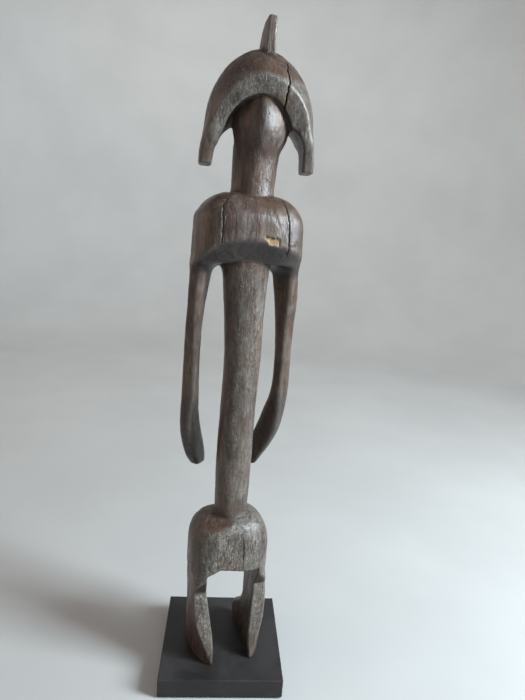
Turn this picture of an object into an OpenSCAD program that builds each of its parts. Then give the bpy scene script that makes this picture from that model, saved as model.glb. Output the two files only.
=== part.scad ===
// Standing ancestor figure, carved from one log and screwed to a square painted plinth.
// Millimetres, +Z up. The origin is the middle of the felt's underside, on the surface that
// the object stands on; the plinth's front looks along -Y.

/* [Plinth] */
// Side of the square plinth
plinth_side = 120; // [110:1:160]
// Thickness of the board that the plinth is cut from
plinth_thick = 19; // [16:1:25]
// Width of the softened edges of the plinth
arris = 0.8; // [0.4:0.1:1.5]
// Thickness of the felt glued under the plinth
felt_thick = 1; // [0.8:0.1:2]
// Distance that the felt stays back from the plinth's edge
felt_inset = 3; // [2:0.5:8]

/* [Carving] */
// Height of the carving, from the soles to the top of the crest
figure_height = 594; // [560:1:620]
// How far the carving is turned on its plinth, in degrees
figure_turn = 14; // [0:1:20]
// How far the head looks back towards the plinth's front, in degrees
head_turn = 10; // [0:1:14]
// How much further out the left hand hangs than the right hand
left_hand_out = 1; // [0:1:10]

/* [Screws] */
// Diameter of the screw shank
screw_dia = 4; // [3.5:0.5:5]
// Whole length of each screw
screw_length = 45; // [35:5:50]
// Diameter of the countersunk head
screw_head_dia = 8; // [7:0.5:9]
// Distance of each screw from the carving's middle plane
screw_out = 29; // [27:1:31]

/* [Hidden] */
eps = 0.01;

// Heights of the plinth's faces and of the screws
plinth_low = felt_thick;
plinth_top = plinth_low + plinth_thick;
head_sink = 0.4;              // the heads lie this far inside the plinth's underside
screw_low = plinth_low + head_sink;
head_cone = (screw_head_dia - screw_dia) / 2;   // a 90 degree countersink
screw_point = 6;
hole_slack = 0.5;             // the plinth's clearance holes, on the diameter
screw_back = 3;               // the screws stand this far behind the carving's middle
recess = [1, 4.2, 1.8];       // one arm of the cross recess: width, length, depth

// The carving's own sizes, which are then scaled to figure_height. The crest ends at 594.
ring_points = 36;
round_fn = 48;

// Torso, neck and face: height, offset right, offset back, half width, half depth
TORSO = [[136, 0, 0, 15.5, 15], [150, 0, 0, 16, 16], [200, 0, 0, 17, 16.5], [250, 0.5, -1, 16.8, 16.5],
    [300, 1, -2, 17.2, 17], [350, 0, -1, 18.8, 18], [380, -0.5, 0, 21, 20], [396, -0.5, 2, 26, 25],
    [410, 0, 2, 30, 26]];
FACE = [[440, 0, 0, 20.5, 20], [455, 0.3, 0, 19, 19], [475, 0.3, -1, 19.5, 19], [492, 0.8, -4, 21.5, 21],
    [508, 1.5, -7, 22.5, 23], [520, 1.8, -7, 21.5, 23], [532, 2, -4, 17, 19], [545, 2.5, 0, 12, 12]];
// Shoulder and hip blocks: the same columns
SHOULDERS = [[392, -1, 4, 40, 20], [400, -1, 2, 45, 26.5], [409, -1, 0, 48.8, 33], [425, -0.5, 0, 48.8, 33.5],
    [436, -0.5, 0, 46.8, 32.5], [443, -0.5, 0, 42.5, 29.5], [448, -1, 0, 35, 24], [451, -1, 0, 22, 15]];
HIPS = [[84, 1, 1, 40, 30], [98, 1, 0, 40.3, 31], [116, 1, 0, 40.3, 31], [128, 0.5, 0, 38.6, 29.5],
    [137, 0, 0, 33, 25.5], [144, -0.5, 0, 24.5, 19.5], [148, -0.5, 0, 15, 13]];
// One arm: height, offset out, offset back, half thickness, half breadth, turn inwards
ARM = [[420, 38, 12, 8, 15, 20], [396, 41, 9, 7.6, 14.5, 26], [376, 42.3, 7, 7.4, 12.5, 30],
    [356, 43.3, 6, 7.3, 10, 30], [330, 44, 6.5, 7.1, 7.5, 30], [300, 44.2, 9, 7, 6, 30],
    [268, 43.5, 13, 6.8, 6.5, 32], [246, 42.5, 16, 6, 9, 36], [224, 39.5, 21, 5, 11.5, 40],
    [206, 34.5, 27.5, 4.2, 11.5, 42], [193, 30.5, 31.5, 3.2, 9.5, 42], [183, 27.5, 34, 2.2, 6, 42]];

// Ear flap: height, offset out, offset back, half thickness, half depth
FLAP = [[472, 45.8, -2, 4.6, 6.5], [474, 45.8, -2, 5.6, 8], [488, 44.5, -2, 6.4, 9.5], [500, 42, -3, 7.2, 12],
    [512, 39, -3, 8, 15]];
// Headdress dome: middle height, half width, half depth, half height
DOME = [504, 48.2, 43, 67];
head_right = 2.4;             // the head sits this far right of the body's middle
gap_top = 505;                // top of the gap between a flap and the neck
gap_half = 38;                // half the width across both gaps
gap_rise = 13;                // height of their arched tops
crest_thick = 7;
crest_right = 3.7;
leg_outer = 39;
toe = -37;
heel = 38;
hip_arch = [20, 97];          // half width and top of the opening between the legs
arch_rise = 8;                // height of that opening's rounded top

// A leg's side outline (back, height), with a raised heel and a notch above it, and the
// outline of its inner face (out, height)
LEG_SIDE = [[toe, 0], [-19, 66], [-17, 100], [24, 100], [23, 84], [20, 70], [12.5, 54], [8.5, 44],
    [9.5, 38], [17, 30], [27.5, 22], [31.5, 15], [30.5, 0]];
LEG_INNER = [[18.5, 0], [18.5, 26], [22, 52], [26, 86], [27, 120], [60, 120], [60, 0]];
// The crest's side outline (back, height)
CREST = [[-21, 552], [-21, 590], [-19.5, 594], [-14, 594], [-9, 591], [-2, 583], [5, 572], [11, 559], [11, 552]];

// A catmull-rom curve through the rows of a table, which is where each loft gets its rings
function curved(a, b, c, d, t) =
    b + t * (c - a) / 2 + t * t * (a - 2.5 * b + 2 * c - d / 2) + t * t * t * (1.5 * (b - c) + (d - a) / 2);
function rows(keys, steps) = [
    for (i = [0 : len(keys) - 2], s = [0 : steps - 1])
        curved(keys[max(i - 1, 0)], keys[i], keys[i + 1], keys[min(i + 2, len(keys) - 1)], s / steps),
    keys[len(keys) - 1]];

// One ring of a loft: a rounded rectangle that square = 2 makes an ellipse
function side(v, square) = sign(v) * pow(abs(v), 2 / square);
function ring(row, square) = let (turn = row[5] == undef ? 0 : row[5]) [
    for (k = [0 : ring_points - 1]) let (
        a = 360 * k / ring_points,
        x = row[3] * side(cos(a), square),
        y = row[4] * side(sin(a), square))
        [row[1] + x * cos(turn) - y * sin(turn), row[2] + x * sin(turn) + y * cos(turn), row[0]]];

// A closed solid through rings that climb in +Z
module loft(keys, square = 2, steps = 2) {
    table = rows(keys, steps);
    n = ring_points;
    last = len(table) - 1;
    polyhedron(
        points = [for (row = table) each ring(row, square)],
        faces = concat(
            [[for (k = [0 : n - 1]) k]],
            [for (r = [0 : last - 1], k = [0 : n - 1]) let (a = r * n, q = (k + 1) % n)
                each [[a + k, a + n + k, a + n + q], [a + k, a + n + q, a + q]]],
            [[for (k = [n - 1 : -1 : 0]) last * n + k]]));
}

// An outline in the YZ plane, as thick as width and centred on x = 0
module upright(points, width) {
    rotate([90, 0, 90])
        linear_extrude(width, center = true)
            polygon(points);
}

// --- The carving's regions, with the soles at z = 0 ---

// Rounded block that the arms hang from, with a bevelled underside
module shoulder_block() {
    loft(SHOULDERS, square = 3.2);
}

// One arm with its paddle hand; the hand hangs further out by out
module arm(out) {
    low = ARM[len(ARM) - 1][0];
    high = ARM[0][0];
    lowest_first = [for (i = [len(ARM) - 1 : -1 : 0]) let (k = ARM[i])
        [k[0], k[1] + out * pow((high - k[0]) / (high - low), 2), k[2], k[3], k[4], k[5]]];
    loft(lowest_first, square = 3.5);
}

// Half-lens leg: flat inside, bulging outside, with a ridge that slopes down to the toe
module leg() {
    mid = (toe + heel) / 2;
    half = (heel - toe) / 2;
    root = LEG_INNER[0][0];
    outline = [for (a = [0 : 10 : 180])
        [root + (leg_outer - root) * pow(sin(a), 0.9), mid - half * cos(a)]];
    intersection() {
        linear_extrude(120)
            polygon(outline);
        upright(LEG_SIDE, 100);
        rotate([90, 0, 0])
            linear_extrude(120, center = true)
                polygon(LEG_INNER);
    }
}

// Hip block over the legs, with the opening between them
module hip_block() {
    difference() {
        loft(HIPS, square = 3);
        translate([-hip_arch[0], -50, 0])
            cube([2 * hip_arch[0], 100, hip_arch[1] - arch_rise]);
        translate([0, 0, hip_arch[1] - arch_rise])
            scale([hip_arch[0], 1, arch_rise])
                rotate([90, 0, 0])
                    cylinder(r = 1, h = 100, center = true, $fn = round_fn);
    }
}

// Arch-shaped column along Y: half width and height at the front and at the back
module arch_cut(front_y, front, back_y, back, middle) {
    hull()
        for (e = [[front_y, front], [back_y, back]])
            translate([0, e[0], middle])
                scale([e[1][0], 1, e[1][1]])
                    rotate([90, 0, 0])
                        cylinder(r = 1, h = 0.1, $fn = round_fn);
}

// Helmet-like headdress: a dome, open over the face, that ends in an ear flap on each side
module headdress() {
    difference() {
        translate([0, 0, DOME[0]])
            scale([DOME[1], DOME[2], DOME[3]])
                sphere(r = 1, $fn = round_fn);
        // the dome ends level with the gaps, and slopes up to the nape
        translate([-60, -60, 400])
            cube([120, 120, gap_top - gap_rise - 399]);
        translate([0, 0, gap_top - gap_rise])
            scale([gap_half, 1, gap_rise])
                rotate([90, 0, 0])
                    cylinder(r = 1, h = 120, center = true, $fn = round_fn);
        // the sloping brim over the face
        arch_cut(-62, [56, 70], -22, [27, 33], 490);
    }
    loft(FLAP, square = 3.5);
    mirror([1, 0, 0])
        loft(FLAP, square = 3.5);
}

// Blade-like crest on the crown
module crest() {
    upright(CREST, crest_thick);
}

// --- The pieces ---

module figure_body() {
    loft(TORSO);
    loft(FACE, square = 2.3);
    shoulder_block();
    arm(0);
    mirror([1, 0, 0])
        arm(left_hand_out);
    hip_block();
    leg();
    mirror([1, 0, 0])
        leg();
    translate([head_right, 0, 0])
        rotate([0, 0, -head_turn])
            headdress();
    translate([crest_right, 0, 0])
        rotate([0, 0, -head_turn / 3])
            crest();
}

// Where the two screws stand, in the carving's own frame
module at_leg(side) {
    rotate([0, 0, figure_turn])
        translate([side * screw_out, screw_back, 0])
            children();
}

// The whole figure: one piece of wood from the crest to the toes
module carved_figure() {
    color("#6b5a4e")
        difference() {
            translate([0, 0, plinth_top])
                rotate([0, 0, figure_turn])
                    resize([0, 0, figure_height], auto = true)
                        figure_body();
            for (side = [-1, 1])
                at_leg(side)
                    translate([0, 0, screw_low + head_cone])
                        screw_shank();
        }
}

// Square board with softened edges, drilled and countersunk from below
module plinth() {
    color("#2a2829")
        difference() {
            translate([0, 0, plinth_low])
                softened_board(plinth_side, plinth_thick);
            for (side = [-1, 1])
                at_leg(side) {
                    translate([0, 0, plinth_low - 1])
                        cylinder(d = screw_dia + hole_slack, h = plinth_thick + 2, $fn = round_fn);
                    translate([0, 0, plinth_low - eps])
                        cylinder(d = screw_head_dia + 0.2, h = head_sink + eps, $fn = round_fn);
                    translate([0, 0, screw_low - eps])
                        cylinder(d1 = screw_head_dia + 0.2, d2 = screw_dia + 0.2, h = head_cone + eps, $fn = round_fn);
                }
        }
}

// A board whose twelve edges are chamfered
module softened_board(side, thick) {
    intersection() {
        linear_extrude(thick)
            chamfered(side, side);
        translate([0, side / 2, thick / 2])
            rotate([90, 0, 0])
                linear_extrude(side)
                    chamfered(side, thick);
        translate([-side / 2, 0, thick / 2])
            rotate([90, 0, 90])
                linear_extrude(side)
                    chamfered(side, thick);
    }
}

module chamfered(w, h) {
    polygon([for (c = [[1, 1], [-1, 1], [-1, -1], [1, -1]])
        each (c[0] * c[1] > 0
            ? [[c[0] * w / 2, c[1] * (h / 2 - arris)], [c[0] * (w / 2 - arris), c[1] * h / 2]]
            : [[c[0] * (w / 2 - arris), c[1] * h / 2], [c[0] * w / 2, c[1] * (h / 2 - arris)]])]);
}

// Shank and point, from the underside of the head upwards
module screw_shank() {
    shank = screw_length - head_cone - screw_point;
    cylinder(d = screw_dia, h = shank, $fn = round_fn);
    translate([0, 0, shank])
        cylinder(d1 = screw_dia, d2 = 0.4, h = screw_point, $fn = round_fn);
}

// Countersunk wood screw, driven upwards from below the plinth
module leg_screw(side) {
    color("silver")
        at_leg(side)
            translate([0, 0, screw_low])
                difference() {
                    union() {
                        cylinder(d1 = screw_head_dia, d2 = screw_dia, h = head_cone, $fn = round_fn);
                        translate([0, 0, head_cone])
                            screw_shank();
                    }
                    for (a = [0, 90])
                        rotate([0, 0, a])
                            translate([-recess[0] / 2, -recess[1] / 2, -eps])
                                cube([recess[0], recess[1], recess[2]]);
                }
}

module left_leg_screw() {
    leg_screw(-1);
}

module right_leg_screw() {
    leg_screw(1);
}

// Felt glued under the plinth, over the screw heads
module felt_sheet() {
    side = plinth_side - 2 * felt_inset;
    color("#1d1d1f")
        translate([-side / 2, -side / 2, 0])
            cube([side, side, felt_thick]);
}

carved_figure();
plinth();
left_leg_screw();
right_leg_screw();
felt_sheet();
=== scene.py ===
"""Standing ancestor figure, carved from one log and screwed to a square black plinth."""
import math

import bpy
import numpy as np
from mathutils import Matrix, Vector


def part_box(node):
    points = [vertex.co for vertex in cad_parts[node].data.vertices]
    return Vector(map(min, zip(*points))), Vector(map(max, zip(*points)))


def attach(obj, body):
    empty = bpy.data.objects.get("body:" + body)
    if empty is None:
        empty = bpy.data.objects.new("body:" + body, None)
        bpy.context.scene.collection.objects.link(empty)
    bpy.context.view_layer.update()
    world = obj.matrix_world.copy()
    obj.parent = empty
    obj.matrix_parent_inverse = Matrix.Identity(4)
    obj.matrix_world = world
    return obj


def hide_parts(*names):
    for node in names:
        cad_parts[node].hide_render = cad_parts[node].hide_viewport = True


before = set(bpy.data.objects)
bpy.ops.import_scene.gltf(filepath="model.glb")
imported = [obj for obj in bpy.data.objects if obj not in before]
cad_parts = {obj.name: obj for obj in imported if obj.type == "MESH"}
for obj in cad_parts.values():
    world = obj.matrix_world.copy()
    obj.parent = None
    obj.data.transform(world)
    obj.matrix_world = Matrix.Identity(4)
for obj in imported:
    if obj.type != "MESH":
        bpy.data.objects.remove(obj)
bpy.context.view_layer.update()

MM = 0.001

# ---------------------------------------------------------------- sizes from the frame
figure_low, figure_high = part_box("carved_figure")
plinth_low, plinth_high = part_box("plinth")
felt_low, felt_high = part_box("felt_sheet")
FIGURE_TURN = math.radians(14)        # the carving's turn on its plinth
CARVED_HEIGHT = 594.0                 # the height, in mm, that the sculpt's own sizes are for
CARVED_SCALE = (figure_high.z - figure_low.z) / (CARVED_HEIGHT * MM)

# ---------------------------------------------------------------- the sculpt's own sizes, in mm
# The sculpt stands on z = 0, faces -y and has +x on the viewer's right; the left arm is the one
# on the viewer's left. A limb's row: height, offset out, offset back, half width, half depth, turn.
TORSO = [[130, 0, 0, 15.6, 15.2, 0], [150, 0, 0, 16.2, 15.8, 0], [200, 0, 0, 17.2, 16.6, 0],
         [250, 0.4, -1, 16.9, 16.6, 0], [300, 1, -2, 17.3, 17, 0], [350, 0, -1, 19, 18, 0],
         [380, -0.5, 0, 21.2, 20, 0], [396, -0.6, 1, 23, 22, 0], [410, 0, 2, 24, 23, 0]]
NECK = [[436, 0, 0, 20.6, 20, 0], [455, 0.2, 0, 19.4, 19.2, 0], [475, 0.4, -1, 20, 19.3, 0],
        [495, 1, -3, 20.6, 20, 0], [515, 1.6, -4, 18, 18, 0]]
LEFT_ARM = [[183, 28.4, 34, 5, 8, 42], [193, 31.8, 31.8, 6.2, 11.5, 42], [206, 35.8, 27.8, 6.8, 12.6, 42],
            [224, 40.4, 21.5, 6.8, 12.4, 40], [246, 43.6, 15.5, 7.2, 9.5, 36],
            [264, 44.8, 10.5, 7.4, 7.2, 32], [300, 45.5, 8.5, 7.2, 6.2, 30],
            [330, 45.4, 6.5, 7.0, 7.5, 30], [356, 43.8, 6, 7.2, 10, 30], [376, 42, 7, 8.2, 12.5, 30],
            [396, 40, 9, 9.6, 14.5, 26], [424, 37, 12, 10, 15, 20]]
RIGHT_ARM = [[179, 28, 35, 2.8, 6.5, 42], [193, 32, 32, 4, 10, 42], [206, 36, 28, 5.2, 12, 42],
             [224, 41, 22, 6.6, 12, 40], [246, 44.4, 16, 7.8, 10, 36], [264, 45.8, 10.5, 8.3, 7.4, 32],
             [300, 46, 8.5, 7.4, 6.6, 30], [330, 44.4, 6.5, 7.4, 7.8, 30], [356, 43.2, 6, 7.6, 10.5, 30],
             [376, 42.2, 7, 7.8, 12.8, 30], [396, 40.8, 9, 8, 14.5, 26], [424, 38, 12, 8, 15, 20]]
FLAP = [[473.5, 45, -5, 5.8, 9.4, 0], [480, 44.6, -5.6, 6.2, 10.4, 0],
        [490, 43.2, -6.6, 6.5, 12, 0], [500, 40.8, -8, 6.6, 13.6, 0], [512, 37, -7, 5.6, 10, 0],
        [522, 33, -5, 4, 6, 0]]
SHOULDER_HALF = (49.0, 33.8)          # half width and half depth of the shoulder block
SHOULDER_RIGHT = -0.8
SHOULDER_SQUARE = 3.1                 # 2 makes a plan an ellipse, and more squares it
SHOULDER_TOP = 452.2
SHOULDER_ROUND = 27                   # radius of the block's top edge
SHOULDER_FLARE = 432                  # the block widens a little below this height
SHOULDER_UNDER = 391                  # height of its underside
HIP_HALF = (39.3, 30.6)
HIP_TOP = 146.5
HIP_UNDER = 96.8
# The legs' inner faces (height, offset out), backs (height, offset back), reach to the front and
# back, and outer faces
LEG_INNER = [[0, 18.8], [14, 17.8], [26, 18.4], [38, 20.2], [52, 22.2], [66, 24], [86, 26.2], [120, 27]]
LEG_BACK = [[0, 30.5], [5, 32], [15, 31.5], [22, 27.5], [30, 17], [38, 9.5], [44, 8], [54, 12.5],
            [70, 21], [90, 27], [120, 30]]
LEG_REACH = [[0, 37.5], [30, 40], [70, 46], [110, 52]]
LEG_OUTER = [[0, 37.4], [14, 39], [40, 38.8], [80, 37.4], [120, 37]]
LEG_SQUARE = [[0, 1.6], [20, 1.7], [70, 2.5]]
TOE = -40
HEAD_RIGHT = 2.4
HEAD_TURN = math.radians(-10)
DOME_MIDDLE = 504.0
DOME_HALF = (48.2, 43.0, 67.0)
CREST_RIGHT = 3.7
CREST_FRONT = -21.0
CREST_TURN = math.radians(-3)
BRIM_LOW = 495                        # height from which the brim's arches rise
BRIM_OUTER = (43.5, 47.0)             # half width and rise of the outer arch
BRIM_INNER = 0.735                    # the inner arch, as a share of the outer one
FACE_MIDDLE = (1.6, -8.0, 510.0)
FACE_HALF = (25.0, 24.0, 30.5)
FACE_TURN = math.radians(-12)

# Drying cracks: points (height, offset right) from top to bottom, then half width and depth
HEAD_CRACK = ([(558, 17.2), (549, 17.4), (541, 19.2), (534, 18.0), (524, 17.2), (514, 17.6)], 0.42, 6)
LEFT_CRACK = ([(452, -21), (447, -25), (439, -31.4), (432, -32.8), (421, -32.2), (404, -32.4)], 0.26, 3)
RIGHT_CRACK = ([(449, 22.2), (444, 23.8), (437, 25.2), (425, 27.2), (407, 27.8), (398, 27.4)], 0.3, 4)
HIP_CRACK = ([(133, 4.2), (126, 7.0), (119, 7.9), (103, 8.0), (94, 8.4)], 0.26, 3)
CHEST_PITS = [(-5.9, 429.4), (-2.8, 428.8), (-9.6, 416.7)]              # offset right, height
CHEST_PIT_RADIUS = 0.6
FINE_BANDS = [(-34.5, -20.5), (4.0, 9.5), (12.5, 17.5), (23.0, 29.5)]   # where the cracks run

GRID = 1.2          # spacing of the sculpt's grid
FINE_GRID = 0.5     # and across the cracks
SLAB = 40                             # grid layers worked at a time


# ---------------------------------------------------------------- distance field helpers
def smooth_min(a, b, k):
    h = np.clip(0.5 + 0.5 * (b - a) / k, 0, 1)
    return b + (a - b) * h - k * h * (1 - h)


def smooth_max(a, b, k):
    return -smooth_min(-a, -b, k)


def round_max(a, b, radius):
    """The overlap of two solids, with their meeting edge rounded to radius."""
    pa, pb = np.maximum(a + radius, 0), np.maximum(b + radius, 0)
    deep = (pa + pb) == 0
    return np.where(deep, np.minimum(np.maximum(a, b), -radius), np.sqrt(pa * pa + pb * pb) - radius)


def turned(x, y, angle):
    """x and y in a frame that is turned anticlockwise by angle."""
    return x * np.cos(angle) + y * np.sin(angle), y * np.cos(angle) - x * np.sin(angle)


def along(rows, z):
    """The rows' columns at each height z, on one smooth curve."""
    table = np.array(rows, float)
    knots = table[:, 0]
    i = np.clip(np.searchsorted(knots, z) - 1, 0, len(knots) - 2)
    step = knots[i + 1] - knots[i]
    t = np.clip((z - knots[i]) / step, 0, 1)
    columns = []
    for values in table[:, 1:].T:
        slope = np.gradient(values, knots)
        columns.append((2 * t**3 - 3 * t**2 + 1) * values[i] + (t**3 - 2 * t**2 + t) * step * slope[i]
                       + (3 * t**2 - 2 * t**3) * values[i + 1] + (t**3 - t**2) * step * slope[i + 1])
    return columns


def at_heights(rows, z):
    """The second column of rows at each height z, on straight lines, for a slab's last axis."""
    return np.interp(z, *np.array(rows, float).T)[None, None, :]


class Slab:
    """A stretch of the grid between two heights."""

    def __init__(self, xs, ys, zs):
        self.axes = (xs, ys, zs)
        self.x = xs[:, None, None]
        self.y = ys[None, :, None]
        self.z = zs[None, None, :]

    def reaches(self, low, high):
        return self.axes[2][-1] > low - 8 and self.axes[2][0] < high + 8

    def distance(self, f):
        """f divided by its own steepness, which makes it a distance near its surface."""
        gradient = np.gradient(f, *self.axes)
        steep = np.sqrt(sum(g * g for g in gradient))
        return f / np.maximum(steep, 1e-3 * np.max(steep))

    def whole(self, f):
        return np.broadcast_to(f, [len(a) for a in self.axes]).astype(np.float32)


def rounded_plan(s, x, y, half, square):
    """Distance to an upright column whose plan is a rounded rectangle."""
    r = (np.abs(x / half[0])**square + np.abs(y / half[1])**square)**(1 / square)
    return s.distance(s.whole(r * min(half[0], half[1]) - min(half[0], half[1])))


def loft(s, rows, square, mirror=1, chamfer=None, ends=3):
    """Distance to a limb whose section follows the rows; chamfer cuts its inner front corner."""
    cx, cy, a, b, turn = (c[None, None, :] for c in along(rows, s.axes[2]))
    u, v = turned(s.x * mirror - cx, s.y - cy, np.radians(turn))
    r = (np.abs(u / a)**square + np.abs(v / b)**square)**(1 / square)
    f = s.distance(s.whole((r - 1) * np.minimum(a, b)))
    f = smooth_max(f, s.whole(rows[0][0] - s.z), ends)
    f = smooth_max(f, s.whole(s.z - rows[-1][0]), ends)
    if chamfer is not None:
        depth = at_heights(chamfer, s.axes[2])
        f = smooth_max(f, s.whole(-0.64 * u - 0.77 * v - (0.64 * a + 0.77 * b - depth)), 0.8)
    return f


# ---------------------------------------------------------------- regions of the carving
def torso(s):
    return loft(s, TORSO, 2.15)


def shoulder_plan(s):
    return rounded_plan(s, s.x - SHOULDER_RIGHT, s.y, SHOULDER_HALF, SHOULDER_SQUARE)


def shoulder_flare(s):
    return 0.03 * np.clip(SHOULDER_FLARE - s.z, 0, 45)


def shoulder_block(s):
    """A rounded block with a crisp lower edge and a bevelled underside."""
    top = s.z - SHOULDER_TOP + 0.0012 * (s.x + 2)**2
    edge = 411.6 - 0.0042 * (s.x + 8)**2 - 0.02 * np.clip(-25 - s.x, 0, None)**2
    plan = shoulder_plan(s) - s.whole(shoulder_flare(s))
    f = round_max(plan, s.whole(top), SHOULDER_ROUND)
    f = smooth_max(f, s.whole((1.2 * plan + (edge - s.z)) / 1.56), 1.6)
    return smooth_max(f, s.whole(SHOULDER_UNDER - s.z), 3)


def arm(s, side):
    """Each arm's inner front corner is pared down, and the left hand's more than the right's."""
    if side < 0:
        return loft(s, LEFT_ARM, 3.6, -1, [[181, 0.5], [258, 0.4], [300, 2.2], [390, 3.6]])
    return loft(s, RIGHT_ARM, 3.6, 1, [[182, 0.3], [262, 0.5], [300, 1.2], [390, 2.4]])


def arms_and_block(s, f):
    """The arms run into the block's underside in a vault, inside the block's own outline."""
    vault = s.whole(3.5 + 14 * np.clip((s.z - 345) / 45, 0, 1)**2)
    for side in (-1, 1):
        f = smooth_min(f, arm(s, side), vault)
    if s.reaches(340, 455):
        spread = 0.4 + shoulder_flare(s) + 0.09 * np.clip(396 - s.z, 0, None)
        f = smooth_max(f, s.whole(shoulder_plan(s) - spread - 20 * np.clip((366 - s.z) / 20, 0, 1)), 2)
    return f


def hip_plan(s, grow=0.0):
    return rounded_plan(s, s.x + 0.7, s.y, (HIP_HALF[0] + grow, HIP_HALF[1] + grow), 3.0)


def hip_slope(x, y, z):
    """Distance above the flat slope at the hip block's top left."""
    return -0.19 * (x + 3) - 0.37 * (y + 24) + 0.91 * (z - 140)


def hip_block(s):
    """A round-shouldered block with a flat slope at its top left, and an uneven lower edge."""
    top = s.z - HIP_TOP + 0.004 * s.x**2 + 0.003 * s.y**2
    under = HIP_UNDER - 0.6 * np.clip(-14 - s.x, 0, 18) - 0.16 * np.clip(s.x + 13, 0, 30)
    f = smooth_max(hip_plan(s), s.whole(top), 25)
    f = smooth_max(f, s.whole(hip_slope(s.x, s.y, s.z)), 0.6)
    return smooth_max(f, s.whole(under - s.z), 1.8)


def leg(s, side):
    """Pointed foot, narrow ankle, and a front facet that meets the block in an undercut."""
    x = s.x * side
    z = s.axes[2]
    inner = at_heights(LEG_INNER, z)
    back = at_heights(LEG_BACK, z)
    reach = at_heights(LEG_REACH, z)
    wide = at_heights(LEG_OUTER, z) - inner
    square = at_heights(LEG_SQUARE, z)
    plan = (np.clip(x - inner, 0, None) / wide)**square + (np.abs(s.y + 1.2) / reach)**square
    outer = s.distance(s.whole((plan**(1 / square) - 1) * 18))
    notch, undercut = (66.5, 0.46) if side < 0 else (70.5, 0.44)
    front = np.minimum(TOE + 0.3 * s.z, -19) - undercut * np.clip(s.z - notch, 0, None)
    f = smooth_max(outer, s.distance(s.whole(inner - x)), 1.6)
    f = smooth_max(f, s.whole((front - s.y) * 0.9), 1.3)
    f = smooth_max(f, s.distance(s.whole(s.y - back)), 5)
    f = smooth_max(f, s.whole(s.z - 118), 3)
    f = smooth_max(f, hip_plan(s, 0.2) - s.whole(0.35 * np.clip(84 - s.z, 0, None)), 1.5)
    return smooth_max(f, s.whole(0.02 - s.z), 0.3)


def head_frame(s, right=HEAD_RIGHT):
    return turned(s.x - right, s.y, HEAD_TURN)


def dome(s):
    """Helmet-like headdress with a sloping brim over the face; its ear flaps are lofts."""
    hx, hy = head_frame(s)
    q = np.sqrt((hx / DOME_HALF[0])**2 + (hy / DOME_HALF[1])**2 + ((s.z - DOME_MIDDLE) / DOME_HALF[2])**2)
    keel = 0.3 * np.exp(-(hx / 4.5)**2) * np.clip((s.z - 530) / 12, 0, 1) * (hy < 6)
    f = s.distance(s.whole((q - 1) * 48)) - keel
    f = smooth_max(f, s.whole(491 + 0.5 * np.clip(hy - 4, 0, 30) - s.z), 4)
    # the bevelled brim, and the recess behind it
    rise = np.maximum(s.z - BRIM_LOW, 0) / BRIM_OUTER[1]
    inner_x = hx + 1.5 + 2.5 * np.clip(hx / 20, -0.5, 1)
    bevel = (np.sqrt((hx / BRIM_OUTER[0])**2 + rise**2) - 1 + 1.35 * (1 - q)) * 26
    recess = (np.sqrt((inner_x / BRIM_OUTER[0])**2 + rise**2) - BRIM_INNER) * 36
    hollow = np.maximum(np.minimum(bevel, np.maximum(recess, hy + 9)), hy + 9)
    return smooth_max(f, s.whole(-hollow), 1.0)


def neck_gap(s):
    """The arched openings between the neck and the flaps."""
    hx, hy = head_frame(s)
    rise = np.clip(s.z - 478 - 0.25 * np.clip(hy + 5, 0, 40), 0, None)
    left = (np.clip(-hx, 0, None) / 37.4)**2.6 + (rise / 33)**2.6
    right = (np.clip(hx, 0, None) / 38.4)**3.2 + (rise / 32.5)**3.2
    r = np.where(hx < 0, left**(1 / 2.6), right**(1 / 3.2))
    return s.distance(s.whole((r - 1) * 33))


def flap(s, side):
    hx, hy = head_frame(s, HEAD_RIGHT - 0.9)
    shifted = Slab(*s.axes)
    shifted.x, shifted.y = hx, hy
    return loft(shifted, FLAP, 4.4, mirror=side, ends=1.2)


def crest(s):
    """Blade-like crest with an upright front edge and a curved back."""
    cx, cy = turned(s.x - CREST_RIGHT, s.y, CREST_TURN)
    back = np.clip(cy - CREST_FRONT, 0, None) / 31.5
    rise = np.clip(s.z - 558, 0, None) / 37.5
    blade = ((back**2.3 + rise**2.3)**(1 / 2.3) - 1) * 33
    f = smooth_max(s.whole(blade), s.whole(CREST_FRONT - cy), 3)
    f = smooth_max(f, s.whole(s.z - CARVED_HEIGHT), 4)
    thick = 3.5 + 0.03 * np.clip(CARVED_HEIGHT - s.z, 0, 60)
    f = smooth_max(f, s.whole(np.abs(cx + 0.3) - thick), 1.3)
    return smooth_max(f, s.whole(540 - s.z), 1)


def face(s):
    """A smooth featureless ovoid with a faint ridge down its front."""
    u, v = turned(s.x - FACE_MIDDLE[0], s.y - FACE_MIDDLE[1], FACE_TURN)
    plan = (np.abs(u / FACE_HALF[0])**1.5 + np.abs(v / FACE_HALF[1])**1.5)**(2 / 1.5)
    q = np.sqrt(plan + ((s.z - FACE_MIDDLE[2]) / FACE_HALF[2])**2)
    return s.distance(s.whole((q - 1) * 22))


def crack_line(crack, z):
    points = np.array(crack[0][::-1], float)
    wander = 0.25 * np.sin(z * 0.9) + 0.12 * np.sin(z * 2.3 + 1)
    return np.interp(z, points[:, 0], points[:, 1]) + wander


def crack_gap(crack, x, z):
    """Distance from a crack's middle, in half widths; it closes towards its ends."""
    low, high = crack[0][-1][0], crack[0][0][0]
    t = np.clip((z - low) / (high - low), 0, 1)
    width = crack[1] * np.sqrt(np.clip(4.5 * t * (1 - t), 0, 1))
    gap = np.abs(x - crack_line(crack, z)) - width
    return np.where((z > low) & (z < high), gap, 5.0)


def cut_crack(s, f, crack, x):
    gap = crack_gap(crack, x, s.z)
    wedge = np.maximum(gap + np.clip(-f, 0, crack[2]) * crack[1] / crack[2] * 0.9, -(f + crack[2]))
    wedge = np.maximum(wedge, s.y + 4)
    return np.maximum(f, s.whole(-wedge))


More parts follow.
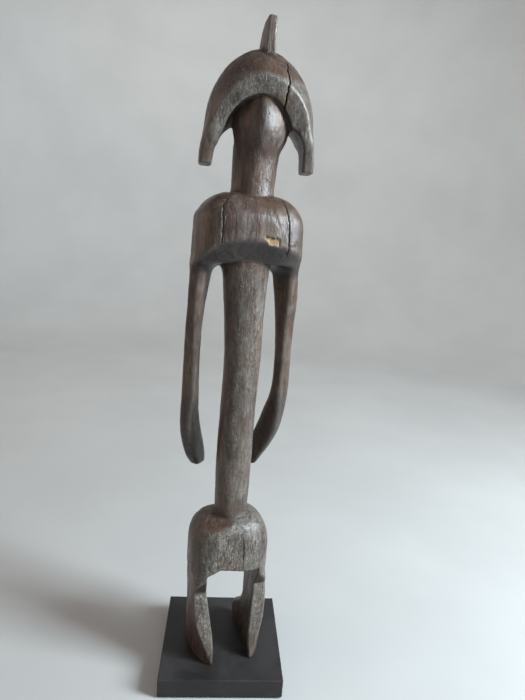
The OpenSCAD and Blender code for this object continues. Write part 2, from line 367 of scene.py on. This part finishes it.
def chip_outline(x, z):
    """Distance outside the slanted chip at the block's lower front edge."""
    top = z - 415.4 + 0.10 * (x - 5) - 0.4 * np.sin(1.3 * x)
    bottom = 409.6 - 0.12 * (x - 9) - z + 0.4 * np.sin(1.7 * x)
    left = 5.0 + 0.9 * (415 - z) - x
    return np.maximum(np.maximum(top, bottom), np.maximum(left * 0.75, x - 18.4 + 0.3 * np.sin(2 * z)))


def figure_field(s):
    """The whole carving's distance field on one slab."""
    f = s.whole(np.full((1, 1, 1), 40.0))
    if s.reaches(130, 410):
        f = np.minimum(f, torso(s))
    if s.reaches(80, 150):
        f = smooth_min(f, cut_crack(s, hip_block(s), HIP_CRACK, s.x), 1.8)
    if s.reaches(0, 120):
        for side in (-1, 1):
            f = smooth_min(f, leg(s, side), 1.6)
    if s.reaches(386, 455):
        block = shoulder_block(s)
        for crack in (LEFT_CRACK, RIGHT_CRACK):
            block = cut_crack(s, block, crack, s.x)
        f = smooth_min(f, block, 1.4)
        chip = np.maximum(chip_outline(s.x, s.z), s.y + 32.4 - 0.14 * (s.z - 409))
        f = np.maximum(f, s.whole(-chip))
    if s.reaches(180, 420):
        f = arms_and_block(s, f)
    if s.reaches(436, 520):
        f = smooth_min(f, loft(s, NECK, 2.1), 2.0)
    if s.reaches(465, 592):
        head = dome(s)
        for side in (-1, 1):
            head = smooth_min(head, flap(s, side), 4)
        head = smooth_max(head, -neck_gap(s), 2)
        head = smooth_min(head, crest(s), 1.8)
        hx, _ = head_frame(s)
        head = cut_crack(s, head, HEAD_CRACK, hx)
        f = smooth_min(f, head, 1.2)
        f = smooth_min(f, face(s), 3)
    return f


# ---------------------------------------------------------------- from field to mesh
def grid_lines(low, high, fine=()):
    """Grid positions from low to high, closer together inside the fine bands."""
    lines = [low]
    while lines[-1] < high:
        step = FINE_GRID if any(a <= lines[-1] < b for a, b in fine) else GRID
        lines.append(lines[-1] + step)
    return np.array(lines)


def whole_field():
    xs = grid_lines(-62, 62, FINE_BANDS)
    ys = grid_lines(-42, 48)
    zs = grid_lines(-3, CARVED_HEIGHT)
    parts = []
    for start in range(0, len(zs), SLAB):
        low = max(start - 1, 0)
        high = min(start + SLAB + 1, len(zs))
        part = figure_field(Slab(xs, ys, zs[low:high]))
        parts.append(part[:, :, start - low:min(start + SLAB, len(zs)) - low])
    return np.concatenate(parts, 2), (xs, ys, zs)


CORNERS = [(i, j, k) for i in (0, 1) for j in (0, 1) for k in (0, 1)]
EDGES = [(a, b) for a in CORNERS for b in CORNERS
         if sum(b) == sum(a) + 1 and sum(abs(p - q) for p, q in zip(a, b)) == 1]


def surface_net(field, axes):
    """Vertices and quads of the surface where field is 0: one vertex per crossed cell."""
    inside = field < 0
    size = [n - 1 for n in field.shape]

    def corner(array, c):
        return array[c[0]:c[0] + size[0], c[1]:c[1] + size[1], c[2]:c[2] + size[2]]

    count = sum(corner(inside, c).astype(np.uint8) for c in CORNERS)
    crossed = (count > 0) & (count < 8)
    cells = np.argwhere(crossed)
    number = np.full(size, -1, np.int32)
    number[crossed] = np.arange(len(cells))
    total = np.zeros((len(cells), 3))
    crossings = np.zeros(len(cells))
    for a, b in EDGES:
        fa = corner(field, a)[crossed].astype(float)
        fb = corner(field, b)[crossed].astype(float)
        cut = (fa < 0) != (fb < 0)
        t = np.where(cut, fa / np.where(cut, fa - fb, 1), 0)
        for d in range(3):
            pa = axes[d][cells[:, d] + a[d]]
            pb = axes[d][cells[:, d] + b[d]]
            total[:, d] += np.where(cut, pa + t * (pb - pa), 0)
        crossings += cut
    vertices = total / crossings[:, None]

    quads = []
    for d in range(3):
        e, g = (d + 1) % 3, (d + 2) % 3
        near = [slice(None)] * 3
        far = [slice(None)] * 3
        near[d], far[d] = slice(0, -1), slice(1, None)
        first = inside[tuple(near)]
        cut = np.argwhere(first != inside[tuple(far)])
        out = first[tuple(cut.T)]
        ring = []
        for shift_e, shift_g in ((-1, -1), (0, -1), (0, 0), (-1, 0)):
            cell = cut.copy()
            cell[:, e] += shift_e
            cell[:, g] += shift_g
            ring.append(number[tuple(cell.T)])
        quad = np.stack(ring, 1)
        quad[~out] = quad[~out][:, ::-1]
        quads.append(quad)
    return vertices, np.concatenate(quads)


def make_mesh(name, vertices, faces):
    mesh = bpy.data.meshes.new(name)
    mesh.from_pydata(vertices.tolist() if hasattr(vertices, "tolist") else vertices, [],
                     faces.tolist() if hasattr(faces, "tolist") else faces)
    mesh.validate()
    mesh.update()
    return mesh


def normals_of(vertices, quads):
    across = np.cross(vertices[quads[:, 2]] - vertices[quads[:, 0]],
                      vertices[quads[:, 3]] - vertices[quads[:, 1]])
    normals = np.zeros_like(vertices)
    for c in range(4):
        for d in range(3):
            normals[:, d] += np.bincount(quads[:, c], across[:, d], len(vertices))
    return normals / np.maximum(np.linalg.norm(normals, axis=1), 1e-9)[:, None]


def neighbour_mean(values, quads):
    """Mean of the four-sided faces' neighbouring values at each vertex."""
    total = np.zeros((len(values),) + values.shape[1:])
    count = np.zeros(len(values))
    for c in range(4):
        for step in (1, 3):
            other = quads[:, (c + step) % 4]
            if values.ndim == 1:
                total += np.bincount(quads[:, c], values[other], len(values))
            else:
                for d in range(values.shape[1]):
                    total[:, d] += np.bincount(quads[:, c], values[other, d], len(values))
            count += np.bincount(quads[:, c], minlength=len(values))
    count = np.maximum(count, 1)
    return total / (count if values.ndim == 1 else count[:, None])


def hashed(cells, salt):
    """Repeatable numbers from 0 to 1 for whole-number cells."""
    n = (cells[..., 0] * 374761393 + cells[..., 1] * 668265263 + cells[..., 2] * 2147483647
         + salt * 974634777) & 0x7FFFFFFF
    n = ((n ^ (n >> 13)) * 1274126177) & 0x7FFFFFFF
    return ((n ^ (n >> 16)) & 0xFFFF) / 65535.0


def value_noise(p, size, salt):
    """Smooth noise from -1 to 1 whose cells are size mm along x, y and z."""
    q = p / np.array(size)
    cell = np.floor(q).astype(np.int64)
    t = q - cell
    t = t * t * (3 - 2 * t)
    value = np.zeros(len(p))
    for c in CORNERS:
        weight = np.ones(len(p))
        for d in range(3):
            weight = weight * (t[:, d] if c[d] else 1 - t[:, d])
        value += weight * hashed(cell + np.array(c), salt)
    return 2 * value - 1


def tool_facets(p, size, salt):
    """Height of shallow chisel facets: the nearest cut's own tilted plane."""
    q = p / np.array(size)
    base = np.floor(q).astype(np.int64)
    best = np.full(len(p), 9.0)
    height = np.zeros(len(p))
    for i in (-1, 0, 1):
        for j in (-1, 0, 1):
            for k in (-1, 0, 1):
                cell = base + np.array((i, j, k))
                centre = cell + np.stack([hashed(cell, salt + d) for d in range(3)], 1)
                away = q - centre
                far = (away**2).sum(1)
                tilt = np.stack([hashed(cell, salt + 3 + d) - 0.5 for d in range(3)], 1)
                level = (away * tilt).sum(1) * 1.6 + hashed(cell, salt + 6) - 0.5
                nearer = far < best
                best = np.where(nearer, far, best)
                height = np.where(nearer, level, height)
    return height


def bends(vertices, quads, normals):
    """How hollow (above 0) or proud (below 0) each spot is, at a fine and at a broad scale."""
    fine = ((neighbour_mean(vertices, quads) - vertices) * normals).sum(1)
    for _ in range(3):
        fine = neighbour_mean(fine, quads)
    broad = vertices
    for _ in range(14):
        broad = neighbour_mean(broad, quads)
    return fine, ((broad - vertices) * normals).sum(1)


def carving_marks(vertices, bend):
    """Chisel facets of two sizes and a slight unevenness, weaker along the edges and hollows."""
    calm = np.clip(1 - np.abs(bend) * 8, 0.2, 1) * (vertices[:, 2] > 1.2)
    facets = tool_facets(vertices, (8.5, 8.5, 17), 11)
    small = tool_facets(vertices, (3.6, 3.6, 7.5), 37)
    uneven = value_noise(vertices, (26, 26, 60), 5)
    return (0.28 * facets + 0.06 * small + 0.45 * uneven) * calm


def crack_marks(x, y, z):
    """How deep in a crack each spot is, and how far from every crack."""
    hx, _ = turned(x - HEAD_RIGHT, y, HEAD_TURN)
    crack = np.zeros(len(x))
    whole = np.ones(len(x))
    for line, across in ((HEAD_CRACK, hx), (LEFT_CRACK, x), (RIGHT_CRACK, x), (HIP_CRACK, x)):
        gap = crack_gap(line, across, z)
        crack = np.maximum(crack, np.clip(0.9 - gap / 0.4, 0, 1) * (y < -4))
        whole = np.minimum(whole, np.clip(gap / 3 - 0.2, 0, 1))
    for px, pz in CHEST_PITS:
        pit = np.clip(1.6 - np.hypot(x - px, z - pz) / CHEST_PIT_RADIUS, 0, 0.8)
        crack = np.maximum(crack, pit * (y < -25))
    return crack, whole


def dust(x, y, z, normals):
    """Pale dust on the fronts of the hip block, legs and torso, and on the headdress's brim, leaning to the
    right-facing sides where the key light falls, so partly painted light.
    """
    # the lean towards normals facing +x puts painted light on the sides the key light falls on
    front = np.clip(-normals[:, 1] * 1.3 + 0.55 * normals[:, 0] + 0.1, 0, 1)
    front = np.where((z < 150) & (x > -5), np.clip(front + 0.8 * normals[:, 2], 0, 1), front)
    low = np.clip((152 - z) / 6, 0, 1) * np.clip((z - 4) / 30, 0.35, 1)
    low = low * np.clip(np.maximum(-hip_slope(x, y, z) - 0.5, (x + 5) / 4), 0, 1)
    middle = np.clip((z - 150) / 20, 0, 1) * np.clip((395 - z) / 20, 0, 1) * (np.abs(x) < 22) * 0.5
    brim = (np.clip((z - 482) / 20, 0, 1) * np.clip((546 - z) / 6, 0, 1)
            * (np.hypot((x - 2) / 26, (z - 495) / 36) > 1) * 0.75)
    return front * np.clip(low + middle + brim, 0, 1)


def underside(x, z, normals):
    """Painted shade on surfaces that face down, but little of it on the head, and painted shade on the
    hands.
    """
    under = np.clip((-0.09 - normals[:, 2]) / 0.28, 0, 1) * np.where(z > 470, 0.15, 1)
    hands = np.clip((268 - z) / 14, 0, 1) * (z > 172) * (np.abs(x) > 25)
    return np.maximum(under, 0.72 * hands * np.clip(-normals[:, 1] * 2, 0, 1))


def sculpt_figure():
    """The whole carving as one closed mesh, with its wear, dust, patina and painted shade as attributes for
    the material.
    """
    field, axes = whole_field()
    vertices, quads = surface_net(field, axes)
    normals = normals_of(vertices, quads)
    bend, broad = bends(vertices, quads, normals)
    vertices = vertices + normals * carving_marks(vertices, bend)[:, None]
    vertices[:, 2] = np.clip(vertices[:, 2], 0, CARVED_HEIGHT)

    x, y, z = vertices.T
    crack, whole = crack_marks(x, y, z)
    chip = np.clip(0.8 - chip_outline(x, z) / 0.5, 0, 1) * (y < -28)
    wear = {"crack": crack,
            "chip": chip * (1 - crack),
            "dusty": dust(x, y, z, normals),
            # under: painted shade on down-facing surfaces and on the hands
            "under": underside(x, z, normals),
            # hollow: dark patina in creases and recesses, plus painted shade there
            "hollow": np.clip(bend * 6 + broad * 0.45, 0, 1),
            "proud": np.clip(-bend * 7 - broad * 0.25, 0, 1) * whole}

    turn = Matrix.Rotation(FIGURE_TURN, 3, "Z")
    world = (vertices * MM * CARVED_SCALE) @ np.array(turn).T
    world[:, 2] += figure_low.z
    mesh = make_mesh("carved_figure_wood", world, quads)
    for name, values in wear.items():
        layer = mesh.attributes.new(name, "FLOAT", "POINT")
        layer.data.foreach_set("value", values.astype(np.float32))
    mesh.polygons.foreach_set("use_smooth", np.ones(len(mesh.polygons), bool))
    piece = bpy.data.objects.new("carved_figure_wood", mesh)
    bpy.context.scene.collection.objects.link(piece)
    return piece


# ---------------------------------------------------------------- materials
class Nodes:
    """Short calls for building one material's node tree."""

    def __init__(self, name):
        self.material = bpy.data.materials.new(name)
        self.material.use_nodes = True
        self.tree = self.material.node_tree
        self.shader = self.tree.nodes["Principled BSDF"]
        self.place = self.tree.nodes.new("ShaderNodeTexCoord").outputs["Object"]

    def link(self, source, socket):
        if isinstance(source, bpy.types.NodeSocket):
            self.tree.links.new(source, socket)
        else:
            socket.default_value = source

    def stretched(self, x, y, z, turn=0.0):
        node = self.tree.nodes.new("ShaderNodeMapping")
        node.inputs["Scale"].default_value = (x, y, z)
        node.inputs["Rotation"].default_value = (0, 0, turn)
        self.link(self.place, node.inputs["Vector"])
        return node.outputs["Vector"]

    def noise(self, vector, scale=1.0, detail=4.0, rough=0.55, distort=0.0):
        node = self.tree.nodes.new("ShaderNodeTexNoise")
        node.inputs["Scale"].default_value = scale
        node.inputs["Detail"].default_value = detail
        node.inputs["Roughness"].default_value = rough
        node.inputs["Distortion"].default_value = distort
        self.link(vector, node.inputs["Vector"])
        return node.outputs["Fac"]

    def ramp(self, value, low, high, start=0.0, end=1.0):
        node = self.tree.nodes.new("ShaderNodeMapRange")
        node.clamp = True
        node.interpolation_type = "SMOOTHSTEP"
        self.link(value, node.inputs["Value"])
        for name, number in (("From Min", low), ("From Max", high), ("To Min", start), ("To Max", end)):
            node.inputs[name].default_value = number
        return node.outputs["Result"]

    def math(self, operation, a, b=0.0, clamp=False):
        node = self.tree.nodes.new("ShaderNodeMath")
        node.operation = operation
        node.use_clamp = clamp
        self.link(a, node.inputs[0])
        self.link(b, node.inputs[1])
        return node.outputs[0]

    def mix(self, factor, a, b, blend="MIX"):
        node = self.tree.nodes.new("ShaderNodeMix")
        node.data_type = "RGBA"
        node.blend_type = blend
        self.link(factor, node.inputs["Factor"])
        self.link(a, node.inputs["A"])
        self.link(b, node.inputs["B"])
        return node.outputs["Result"]

    def attribute(self, name):
        node = self.tree.nodes.new("ShaderNodeAttribute")
        node.attribute_name = name
        return node.outputs["Fac"]

    def facing(self, axis):
        node = self.tree.nodes.new("ShaderNodeSeparateXYZ")
        self.link(self.tree.nodes.new("ShaderNodeNewGeometry").outputs["Normal"], node.inputs[0])
        return node.outputs[axis]

    def bump(self, height, distance, strength):
        node = self.tree.nodes.new("ShaderNodeBump")
        node.inputs["Distance"].default_value = distance
        node.inputs["Strength"].default_value = strength
        self.link(height, node.inputs["Height"])
        return node.outputs["Normal"]

    def finish(self, colour, roughness, normal=None, metallic=0.0, specular=0.5):
        self.link(colour, self.shader.inputs["Base Color"])
        self.link(roughness, self.shader.inputs["Roughness"])
        self.shader.inputs["Metallic"].default_value = metallic
        self.shader.inputs["Specular IOR Level"].default_value = specular
        if normal is not None:
            self.link(normal, self.shader.inputs["Normal"])
        return self.material


def aged_wood():
    """Dark handled hardwood: grain along the log, worn grey-brown fronts with dust, a painted cool sheen and
    painted light on the right sides, dark hollows with patina and painted shade, and painted shade
    underneath.
    """
    n = Nodes("aged_carved_hardwood")
    streaks = n.noise(n.stretched(1, 1, 0.07), 620, 5, 0.62, 0.4)
    fibres = n.noise(n.stretched(1, 1, 0.035), 2300, 3, 0.6)
    rings = n.noise(n.stretched(1, 1, 0.12), 170, 6, 0.6, 1.6)
    blotches = n.noise(n.place, 26, 4, 0.6, 0.5)
    patches = n.noise(n.stretched(1, 1, 0.55), 75, 5, 0.65, 0.8)
    specks = n.noise(n.stretched(1, 1, 0.5), 820, 5, 0.75, 0.5)
    flecks = n.noise(n.stretched(1, 1, 0.5), 400, 5, 0.75, 0.8)
    nicks = n.noise(n.stretched(1, 1, 0.28), 520, 4, 0.7, 1.2)
    smoke = n.noise(n.stretched(1, 1, 0.4), 48, 6, 0.7, 1.2)
    wear = n.noise(n.stretched(1, 1, 0.35), 120, 5, 0.7, 0.9)

    dark = (0.020, 0.014, 0.012, 1)
    red = (0.064, 0.030, 0.020, 1)
    brown = (0.104, 0.060, 0.039, 1)
    grey = (0.150, 0.132, 0.112, 1)
    # cool: a painted bluish-grey sheen, like the cool key light's on the right sides
    cool = (0.122, 0.120, 0.108, 1)
    pale = (0.38, 0.335, 0.275, 1)
    # dusty: real dust on the fronts, plus painted light on the right-facing sides
    dusty = n.attribute("dusty")
    colour = n.mix(n.ramp(blotches, 0.36, 0.62), red, brown)
    colour = n.mix(n.ramp(patches, 0.50, 0.72, 0, 0.7), colour, grey)
    colour = n.mix(n.math("MULTIPLY", dusty, n.ramp(patches, 0.3, 0.6, 0.3, 0.9)), colour, grey)
    # painted cool sheen in patches over the dusty fronts
    colour = n.mix(n.math("MULTIPLY", dusty, n.ramp(wear, 0.48, 0.62, 0, 0.85)), colour, cool)
    colour = n.mix(n.ramp(smoke, 0.50, 0.66, 0, 0.62), colour, dark)
    colour = n.mix(n.ramp(wear, 0.36, 0.48, 0.45, 0), colour, dark)
    colour = n.mix(n.ramp(rings, 0.42, 0.56, 0.45, 0), colour, dark)
    colour = n.mix(n.ramp(streaks, 0.52, 0.68, 0, 0.25), colour, grey)
    colour = n.mix(n.ramp(fibres, 0.34, 0.5, 0.45, 0), colour, dark)
    colour = n.mix(n.ramp(nicks, 0.60, 0.68, 0, 0.7), colour, dark)
    speck = n.math("MULTIPLY", n.ramp(specks, 0.50, 0.66), n.ramp(smoke, 0.38, 0.56, 1.0, 0.1), True)
    speck = n.math("MULTIPLY", speck, n.math("ADD", dusty, n.ramp(patches, 0.55, 0.75, 0, 0.25)), True)
    colour = n.mix(speck, colour, pale)
    light_flecks = n.math("MULTIPLY", n.ramp(flecks, 0.53, 0.66), n.math("MULTIPLY", dusty, 0.38))
    dark_flecks = n.math("MULTIPLY", n.ramp(flecks, 0.38, 0.47, 1, 0), n.math("MULTIPLY", dusty, 0.65))
    colour = n.mix(light_flecks, colour, pale)
    colour = n.mix(dark_flecks, colour, dark)
    pits = n.math("MULTIPLY", n.ramp(specks, 0.34, 0.46, 1, 0), n.math("ADD", dusty, 0.15), True)
    colour = n.mix(pits, colour, dark)
    # painted shade on undersides and hands, dark patina and painted shade in hollows, and rubbed edges
    # painted shade from the under attribute
    colour = n.mix(n.math("MULTIPLY", n.attribute("under"), 0.92), colour, dark)
    # dark patina and painted shade in the hollows
    colour = n.mix(n.math("MULTIPLY", n.attribute("hollow"), 0.75), colour, dark)
    rubbed = n.math("MULTIPLY", n.attribute("proud"), n.ramp(streaks, 0.35, 0.6, 0.15, 0.6))
    colour = n.mix(rubbed, colour, grey)
    fresh = n.mix(n.ramp(streaks, 0.4, 0.62), (0.21, 0.125, 0.06, 1), (0.40, 0.275, 0.15, 1))
    colour = n.mix(n.attribute("chip"), colour, fresh)
    colour = n.mix(n.attribute("crack"), colour, (0.008, 0.006, 0.005, 1))

    relief = n.math("ADD", n.math("MULTIPLY", streaks, 0.6), n.math("MULTIPLY", fibres, 0.35))
    relief = n.math("SUBTRACT", relief, n.ramp(nicks, 0.58, 0.68, 0, 0.55))
    relief = n.math("ADD", relief, n.math("MULTIPLY", rings, 0.5))
    normal = n.bump(relief, 0.00055, 0.75)
    rough = n.ramp(patches, 0.3, 0.7, 0.27, 0.46)
    rough = n.math("ADD", rough, n.math("MULTIPLY", n.attribute("hollow"), 0.25), True)
    rough = n.math("ADD", rough, n.math("MULTIPLY", n.attribute("chip"), 0.3), True)
    return n.finish(colour, rough, normal)


def black_paint():
    """Matt black brushed paint over wood, dusty on top and rubbed brown on the edges."""
    n = Nodes("worn_black_paint")
    brush = n.noise(n.stretched(0.05, 1, 1), 900, 4, 0.6)
    cloud = n.noise(n.place, 30, 5, 0.62, 0.6)
    dust = n.noise(n.place, 2600, 3, 0.7)
    scuffs = n.noise(n.stretched(1, 0.25, 1), 160, 6, 0.7, 1.0)
    colour = n.mix(n.ramp(cloud, 0.35, 0.7), (0.014, 0.013, 0.0135, 1), (0.026, 0.024, 0.025, 1))
    colour = n.mix(n.ramp(scuffs, 0.60, 0.78, 0, 0.35), colour, (0.045, 0.042, 0.042, 1))
    colour = n.mix(n.math("MULTIPLY", n.ramp(dust, 0.62, 0.75), n.ramp(n.facing("Z"), 0.5, 0.9, 0.0, 0.5)),
                   colour, (0.16, 0.15, 0.14, 1))
    relief = n.math("ADD", n.math("MULTIPLY", brush, 0.6), n.math("MULTIPLY", dust, 0.25))
    rough = n.ramp(cloud, 0.3, 0.7, 0.42, 0.6)
    return n.finish(colour, rough, n.bump(relief, 0.0003, 0.6), specular=0.4)


def zinc_plate():
    n = Nodes("zinc_plated_steel")
    cloud = n.noise(n.place, 400, 4, 0.6)
    turning = n.noise(n.stretched(0.2, 0.2, 1), 6000, 2, 0.5)
    colour = n.mix(n.ramp(cloud, 0.35, 0.65), (0.50, 0.50, 0.47, 1), (0.66, 0.67, 0.66, 1))
    return n.finish(colour, n.ramp(cloud, 0.3, 0.7, 0.25, 0.42), n.bump(turning, 0.00005, 0.4), metallic=1.0)


def black_felt():
    n = Nodes("black_needled_felt")
    fibres = n.noise(n.place, 3200, 5, 0.75, 2.0)
    tufts = n.noise(n.place, 600, 3, 0.6)
    colour = n.mix(n.ramp(fibres, 0.35, 0.7), (0.008, 0.008, 0.009, 1), (0.035, 0.034, 0.036, 1))
    height = n.math("ADD", fibres, n.math("MULTIPLY", tufts, 0.6))
    n.shader.inputs["Sheen Weight"].default_value = 0.5
    n.shader.inputs["Sheen Roughness"].default_value = 0.6
    return n.finish(colour, 0.95, n.bump(height, 0.0004, 0.8), specular=0.1)


def pale_floor():
    n = Nodes("plain_pale_floor")
    colour = n.mix(n.ramp(n.noise(n.place, 4, 3), 0.3, 0.7), (0.42, 0.425, 0.42, 1), (0.45, 0.455, 0.45, 1))
    return n.finish(colour, 0.6, specular=0.3)


# ---------------------------------------------------------------- the other pieces
def link_piece(name, mesh, material):
    piece = bpy.data.objects.new(name, mesh)
    bpy.context.scene.collection.objects.link(piece)
    mesh.materials.append(material)
    return piece


def tube_faces(rings, count):
    """The faces between a stack of rings, each of count points."""
    faces = []
    for r in range(rings - 1):
        for k in range(count):
            q = (k + 1) % count
            faces.append((r * count + k, r * count + q, (r + 1) * count + q, (r + 1) * count + k))
    return faces


def threaded_screw(node, name, material):
    """Countersunk wood screw: its head's cone, a plain neck, and a thread that runs to the point."""
    low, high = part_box(node)
    length = high.z - low.z
    radius = (high.x - low.x) / 2
    shank, core, pitch = radius / 2, radius * 0.34, 1.8 * MM
    head = radius - shank
    sides, rings = 24, 260
    zs = np.concatenate([np.linspace(0, head, 5), np.linspace(head, length - 0.2 * MM, rings)[1:]])
    points = []
    for z in zs:
        for a in np.arange(sides) * 2 * math.pi / sides:
            if z <= head:
                r = radius - z
            else:
                t = (z / pitch - a / (2 * math.pi)) % 1
                tooth = max(0.0, 1 - abs(t - 0.5) / 0.32)
                ease = min(max((z - 12 * MM) / (2 * MM), 0), 1)
                tip = min((length - z) / (6 * MM), 1)
                r = (shank * 0.97 * (1 - ease) + ease * (core + (shank - core) * tooth)) * tip + 0.05 * MM
            points.append((r * math.cos(a), r * math.sin(a), z))
    faces = tube_faces(len(zs), sides)
    # the cross recess: the head's rim steps in to a four-armed cup
    last = (len(zs) - 1) * sides
    faces.append([last + k for k in range(sides)])
    arm_long, arm_wide = radius * 0.55, radius * 0.16
    cup = len(points)
    for depth, shrink in ((0.0, 1.0), (radius * 0.42, 0.62)):
        for k in range(sides):
            a = (k + 0.5) * 2 * math.pi / sides
            c, s = abs(math.cos(a)), abs(math.sin(a))
            reach = max(min(arm_long / c, arm_wide / max(s, 1e-6)),
                        min(arm_long / s, arm_wide / max(c, 1e-6)))
            points.append((reach * shrink * math.cos(a), reach * shrink * math.sin(a), depth))
    for k in range(sides):
        q = (k + 1) % sides
        faces.append((q, k, cup + k, cup + q))
        faces.append((cup + q, cup + k, cup + sides + k, cup + sides + q))
    faces.append([cup + sides + k for k in range(sides - 1, -1, -1)])
    middle = Vector(((low.x + high.x) / 2, (low.y + high.y) / 2, low.z))
    mesh = make_mesh(name, [tuple(Vector(p) + middle) for p in points], faces)
    piece = link_piece(name, mesh, material)
    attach(piece, "root")
    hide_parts(node)


def felt_square(material):
    """Felt with a slightly fuzzy cut edge, flat where it touches the plinth and the floor."""
    steps = 60
    size = felt_high.x - felt_low.x
    thick = felt_high.z - felt_low.z
    side = np.linspace(-0.5, 0.5, steps + 1)
    shift = 0.12 * MM
    rings = []
    edge = [(side[k], -0.5) for k in range(steps)] + [(0.5, side[k]) for k in range(steps)]
    edge += [(-side[k], 0.5) for k in range(steps)] + [(-0.5, -side[k]) for k in range(steps)]
    for level, bulge in ((0, -1.2), (0.25, 0.2), (0.5, 0), (0.75, 0.2), (1, -1.2)):
        ring = []
        for k, (u, v) in enumerate(edge):
            fuzz = shift * (bulge - 1 + 0.8 * math.sin(k * 2.4 + level * 9) * math.sin(k * 0.7 + 2))
            grow = 1 + 2 * fuzz / size
            ring.append((u * size * grow, v * size * grow, felt_low.z + thick * level))
        rings.append(ring)
    count = len(edge)
    points = [p for ring in rings for p in ring]
    faces = tube_faces(len(rings), count)
    faces.append([k for k in range(count - 1, -1, -1)])
    faces.append([(len(rings) - 1) * count + k for k in range(count)])
    piece = link_piece("felt_square", make_mesh("felt_square", points, faces), material)
    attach(piece, "root")
    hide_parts("felt_sheet")


def paint_plinth(material):
    """The CAD plinth keeps its shape and gets its paint."""
    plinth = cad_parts["plinth"]
    plinth.data.materials.clear()
    plinth.data.materials.append(material)


# ---------------------------------------------------------------- stage, camera and lights
def stand_stage():
    """A round pale floor that curves up into a low wall all round."""
    flat, bend, wall, sides = 1.7, 0.8, 2.6, 96
    profile = [(flat * t, 0.0) for t in (0.25, 0.5, 0.75, 1.0)]
    profile += [(flat + bend * math.sin(a), bend * (1 - math.cos(a)))
                for a in (math.pi / 2 * k / 12 for k in range(1, 13))]
    profile.append((flat + bend, wall))
    points = [(0, 0, 0)]
    for radius, height in profile:
        points += [(radius * math.cos(a), radius * math.sin(a), height)
                   for a in (2 * math.pi * k / sides for k in range(sides))]
    faces = [(0, 1 + k, 1 + (k + 1) % sides) for k in range(sides)]
    for ring in range(len(profile) - 1):
        low, high = 1 + ring * sides, 1 + (ring + 1) * sides
        faces += [(low + k, high + k, high + (k + 1) % sides, low + (k + 1) % sides) for k in range(sides)]
    mesh = make_mesh("floor", points, faces)
    mesh.polygons.foreach_set("use_smooth", [True] * len(mesh.polygons))
    link_piece("floor", mesh, pale_floor())


def place_camera():
    """At chest height, close in front, tipped down and a little rolled."""
    yaw, pitch, roll = math.radians(4.83), math.radians(10.79), math.radians(4.40)
    ahead = Vector((math.sin(yaw), math.cos(yaw), 0))
    right = Vector((math.cos(yaw), -math.sin(yaw), 0))
    up = Vector((0, 0, 1))
    look = ahead * math.cos(pitch) - up * math.sin(pitch)
    over = up * math.cos(pitch) + ahead * math.sin(pitch)
    side = right * math.cos(roll) + over * math.sin(roll)
    over = over * math.cos(roll) - right * math.sin(roll)
    data = bpy.data.cameras.new("camera")
    data.sensor_width = 36.0
    data.lens = 26.3
    camera = bpy.data.objects.new("camera", data)
    bpy.context.scene.collection.objects.link(camera)
    place = Vector((-0.020, -0.4786, plinth_high.z + 0.4024))
    camera.matrix_world = Matrix.Translation(place) @ Matrix((side, over, -look)).transposed().to_4x4()
    bpy.context.scene.camera = camera


def area_light(name, place, target, size, power, colour):
    data = bpy.data.lights.new(name, "AREA")
    data.shape = "RECTANGLE"
    data.size, data.size_y = size
    data.energy = power
    data.color = colour
    light = bpy.data.objects.new(name, data)
    bpy.context.scene.collection.objects.link(light)
    aim = Vector(target) - Vector(place)
    light.location = place
    light.rotation_euler = aim.to_track_quat("-Z", "Y").to_euler()


# name, direction across and back, watts
WALL_LIGHTS = [("back", 0, 1, 20), ("right", 1, 0, 15), ("front", 0, -1, 8), ("left", -1, 0, 8)]


def light_scene():
    """A cool key from the right, a weak warm lamp from the left, and soft light from above."""
    world = bpy.data.worlds.new("soft_room")
    world.use_nodes = True
    world.node_tree.nodes["Background"].inputs["Color"].default_value = (0.84, 0.83, 0.82, 1)
    world.node_tree.nodes["Background"].inputs["Strength"].default_value = 0.27
    bpy.context.scene.world = world
    area_light("key", (1.12, -0.42, 0.86), (0, 0, 0.36), (0.45, 0.7), 46, (0.82, 0.93, 1.0))
    area_light("lamp", (-1.2, 0.0, 0.8), (0, 0, 0.35), (0.8, 0.8), 3, (1.0, 0.60, 0.42))
    for name, across, back, power in WALL_LIGHTS:
        area_light("wall_light_" + name, (0.95 * across, 0.95 * back, 1.75), (2.5 * across, 2.5 * back, 0.7),
                   (1.2, 0.5), power, (1.0, 0.985, 0.97))
    bpy.context.scene.view_settings.view_transform = "Standard"


def main():
    wood = aged_wood()
    figure = sculpt_figure()
    figure.data.materials.append(wood)
    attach(figure, "root")
    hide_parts("carved_figure")
    paint_plinth(black_paint())
    steel = zinc_plate()
    threaded_screw("left_leg_screw", "left_leg_screw_threaded", steel)
    threaded_screw("right_leg_screw", "right_leg_screw_threaded", steel)
    felt_square(black_felt())
    stand_stage()
    place_camera()
    light_scene()


main()
